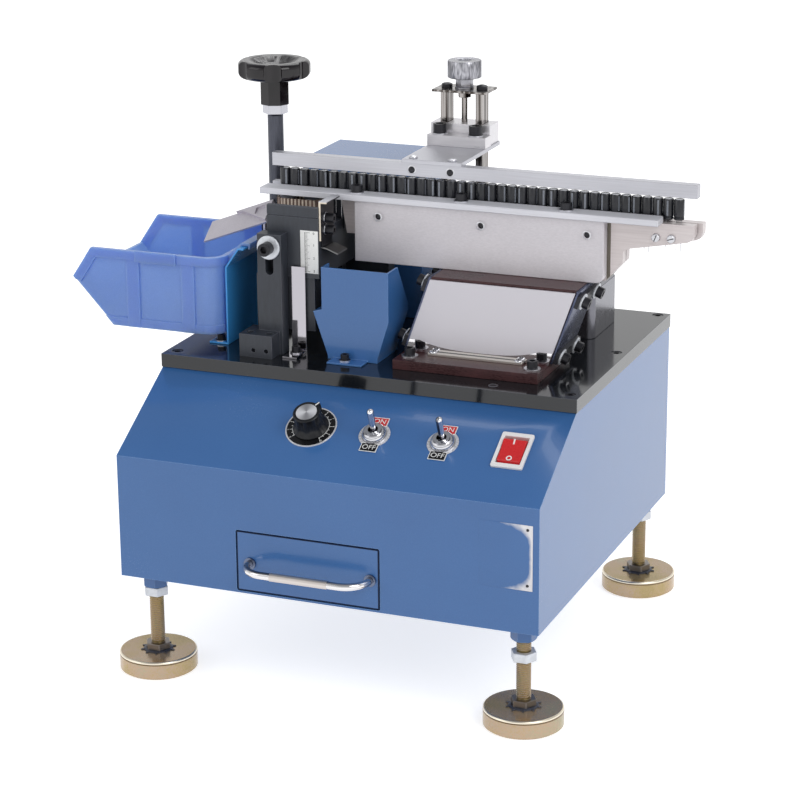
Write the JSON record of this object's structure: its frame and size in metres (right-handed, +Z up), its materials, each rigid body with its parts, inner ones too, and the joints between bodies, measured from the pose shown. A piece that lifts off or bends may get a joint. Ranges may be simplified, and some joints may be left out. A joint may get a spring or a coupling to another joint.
{
  "type": "component lead cutting machine",
  "caption": "Bench machine that feeds radial components along a vibrating track to a height-adjustable cutter head, with a cut-lead drawer and a parts bin",
  "frame": {"origin": "on the floor, under the middle of the whole machine's plan outline", "axes": "+X to the operator's right along the track, +Y to the rear, +Z up"},
  "size_m": [0.4854, 0.358, 0.4385],
  "materials": {
    "cabinet_paint": "satin blue paint",
    "bracket_paint": "satin dark blue paint",
    "plate_black": "gloss black",
    "black_metal": "black anodised",
    "black_steel": "black oxide",
    "black_plastic": "moulded",
    "bin_plastic": "moulded violet blue",
    "steel": "ground",
    "stainless": "brushed",
    "chrome": "polished",
    "aluminium": "milled",
    "yellow_zinc": "yellow zinc plated",
    "bakelite": "phenolic board",
    "red_plastic": "moulded",
    "white_plastic": "moulded",
    "board": "circuit board",
    "belt": "toothed belt",
    "component": "sleeved can"
  },
  "bodies": {
    "base": {"cabinet_shell": "cabinet_paint", "base_panels": "cabinet_paint", "top_plate": "plate_black", "base_screws": "black_steel", "foot_nuts": "steel", "drawer_runners": "steel", "legend_plates": "aluminium", "dial_pot": "steel", "toggle_bodies": "chrome", "rocker_housing": "white_plastic", "power_inlet": "black_plastic", "control_board": "board", "lead_hopper": "cabinet_paint", "bin_bracket": "bracket_paint", "outlet_chute": "stainless", "clamp_post": "black_metal", "length_pointer": "steel", "head_stand": "black_metal", "drive_cover": "cabinet_paint", "feeder_base": "bakelite", "feeder_springs": "steel", "feeder_cover": "chrome", "drive_coil": "black_plastic", "rear_block": "aluminium", "guide_frame": "steel"},
    "foot_fl": {"foot_front_left": "yellow_zinc"},
    "foot_fr": {"foot_front_right": "yellow_zinc"},
    "foot_rl": {"foot_rear_left": "yellow_zinc"},
    "foot_rr": {"foot_rear_right": "yellow_zinc"},
    "drawer": {"drawer_tray": "cabinet_paint", "drawer_front": "cabinet_paint", "drawer_handle": "chrome"},
    "dial": {"dial_knob": "black_plastic"},
    "lever_left": {"toggle_lever_left": "chrome"},
    "lever_right": {"toggle_lever_right": "chrome"},
    "rocker": {"rocker_button": "red_plastic"},
    "bin": {"parts_bin": "bin_plastic"},
    "head": {"head_block": "black_metal", "guard_plate": "steel", "head_screws": "black_steel", "lock_washer": "chrome", "feed_belt": "belt", "feed_motor": "steel"},
    "cutter": {"drive_pulley": "steel", "cutter_disc": "steel"},
    "idler": {"idler_pulley": "steel"},
    "hand": {"hand_screw": "black_steel", "hand_knob": "black_plastic"},
    "trough": {"feeder_top": "bakelite", "armature": "steel", "track_beam": "aluminium", "track_plates": "stainless", "track_rails": "aluminium", "track_screws": "black_steel", "capacitor_row": "component"},
    "guide": {"carriage_block": "steel", "guide_screws": "black_steel", "guide_arm": "steel"},
    "adjuster": {"adjuster_knob": "aluminium", "lead_screw": "steel"}
  },
  "joints": [
    {"name": "drawer_slide", "type": "slide", "parent": "base", "child": "drawer", "axis": [0, -1, 0], "range_m": [0, 0.11]},
    {"name": "bin_lift", "type": "slide", "parent": "base", "child": "bin", "axis": [0, 0, 1], "range_m": [0, 0.008]},
    {"name": "head_lift", "type": "slide", "parent": "base", "child": "head", "axis": [0, 0, 1], "range_m": [-0.016, 0]},
    {"name": "hand_turn", "type": "hinge", "parent": "base", "child": "hand", "pos_m": [-0.10515, 0.036, 0.379], "axis": [0, 0, 1], "range_deg": [-2880, 0]},
    {"name": "cutter_turn", "type": "hinge", "parent": "head", "child": "cutter", "pos_m": [-0.06025, 0.0035, 0.329], "axis": [0, 0, 1], "continuous": true},
    {"name": "idler_turn", "type": "hinge", "parent": "head", "child": "idler", "pos_m": [-0.08065, 0.0035, 0.329], "axis": [0, 0, 1], "continuous": true},
    {"name": "trough_shake", "type": "slide", "parent": "base", "child": "trough", "axis": [-0.9426, 0, 0.3338], "range_m": [-0.0008, 0.0008], "stiffness_N_per_m": 40000, "springref_m": 0.00016, "deforming": ["feeder_springs"]},
    {"name": "guide_lift", "type": "slide", "parent": "base", "child": "guide", "axis": [0, 0, 1], "range_m": [-0.001, 0.016]},
    {"name": "adjuster_turn", "type": "hinge", "parent": "base", "child": "adjuster", "pos_m": [0.03305, 0.083, 0.419], "axis": [0, 0, 1], "range_deg": [-360, 5760]},
    {"name": "dial_turn", "type": "hinge", "parent": "base", "child": "dial", "pos_m": [-0.01315, -0.11601, 0.20276], "axis": [0, -0.4985, 0.8669], "range_deg": [-150, 150]},
    {"name": "toggle_left_throw", "type": "hinge", "parent": "base", "child": "lever_left", "pos_m": [0.03685, -0.11452, 0.20016], "axis": [1, 0, 0], "range_deg": [0, 20]},
    {"name": "toggle_right_throw", "type": "hinge", "parent": "base", "child": "lever_right", "pos_m": [0.08985, -0.11452, 0.20016], "axis": [1, 0, 0], "range_deg": [0, 20]},
    {"name": "rocker_throw", "type": "hinge", "parent": "base", "child": "rocker", "pos_m": [0.14285, -0.11103, 0.19409], "axis": [1, 0, 0], "range_deg": [-14, 0]},
    {"name": "foot_fl_turn", "type": "hinge", "parent": "base", "child": "foot_fl", "pos_m": [-0.13415, -0.1355, 0.039], "axis": [0, 0, 1], "continuous": true},
    {"name": "foot_fr_turn", "type": "hinge", "parent": "base", "child": "foot_fr", "pos_m": [0.15985, -0.1355, 0.039], "axis": [0, 0, 1], "continuous": true},
    {"name": "foot_rl_turn", "type": "hinge", "parent": "base", "child": "foot_rl", "pos_m": [-0.13415, 0.1495, 0.039], "axis": [0, 0, 1], "continuous": true},
    {"name": "foot_rr_turn", "type": "hinge", "parent": "base", "child": "foot_rr", "pos_m": [0.15985, 0.1495, 0.039], "axis": [0, 0, 1], "continuous": true}
  ],
  "couplings": [
    {"joint": "hand_turn", "follows": "head_lift", "rad_per_m": 3141.6},
    {"joint": "idler_turn", "follows": "cutter_turn", "ratio": 1},
    {"joint": "adjuster_turn", "follows": "guide_lift", "rad_per_m": 6283.2}
  ]
}
